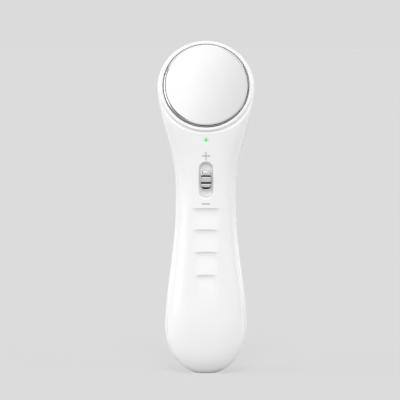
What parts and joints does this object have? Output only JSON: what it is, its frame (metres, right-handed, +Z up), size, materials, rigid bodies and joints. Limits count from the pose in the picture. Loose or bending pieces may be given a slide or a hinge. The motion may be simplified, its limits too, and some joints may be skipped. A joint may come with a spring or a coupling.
{
  "type": "facial massager",
  "caption": "Hand-held facial massager: a handle that stands on its rounded base, with a slide switch, finger steps and a tilted round head that carries a polished metal plate.",
  "frame": {"origin": "centre of the flat foot that the massager stands on", "axes": "+Z up along the handle, -Y out of the front with the switch, +X to the right seen from the front"},
  "size_m": [0.0476, 0.0267, 0.1629],
  "materials": {
    "white_abs": "gloss",
    "polished_steel": "polished",
    "bright_knob": "polished",
    "black_plastic": "matte",
    "tinned_steel": "satin",
    "board_green": "satin",
    "led_body": "gloss",
    "green_light_pipe": "gloss",
    "copper_winding": "satin",
    "capacitor_can": "satin",
    "cell_jacket": "satin",
    "grey_plastic": "matte",
    "spring_steel": "satin",
    "silicone": "matte",
    "brass": "satin",
    "motor_steel": "satin",
    "black_rubber": "matte",
    "red_lead": "satin",
    "black_lead": "satin",
    "white_lead": "satin",
    "blue_lead": "satin"
  },
  "bodies": {
    "housing": {"front_cover": "white_abs", "rear_cover": "white_abs", "head_cup": "white_abs", "electrode_plate": "polished_steel", "electrode_gasket": "silicone", "electrode_terminal": "brass", "electrode_nut": "tinned_steel", "hand_contact": "polished_steel", "switch_body": "tinned_steel", "circuit_board": "board_green", "board_screws": "tinned_steel", "case_screws": "tinned_steel", "indicator_led": "led_body", "light_pipe": "green_light_pipe", "control_chip": "black_plastic", "boost_coil": "copper_winding", "smoothing_capacitor": "capacitor_can", "battery": "cell_jacket", "battery_tray": "grey_plastic", "battery_spring": "spring_steel", "negative_contact": "spring_steel", "positive_contact": "spring_steel", "motor_can": "motor_steel", "motor_cradle": "black_rubber", "electrode_lead": "red_lead", "motor_leads": "blue_lead", "battery_lead": "black_lead", "contact_lead": "white_lead"},
    "switch_slider": {"switch_knob": "bright_knob", "switch_shutter": "white_abs", "switch_lever": "black_plastic"},
    "door": {"battery_door": "white_abs"},
    "motor_rotor": {"motor_shaft": "motor_steel", "eccentric_weight": "brass"}
  },
  "joints": [
    {"name": "switch_slide", "type": "slide", "parent": "housing", "child": "switch_slider", "axis": [0, 0, 1], "range_m": [-0.0034, 0.0034]},
    {"name": "door_hinge", "type": "hinge", "parent": "housing", "child": "door", "pos_m": [0, 0.0127, 0.015], "axis": [-1, 0, 0], "range_deg": [0, 85]},
    {"name": "motor_spin", "type": "hinge", "parent": "housing", "child": "motor_rotor", "pos_m": [0, 0.00326, 0.14788], "axis": [1, 0, 0], "continuous": true}
  ]
}
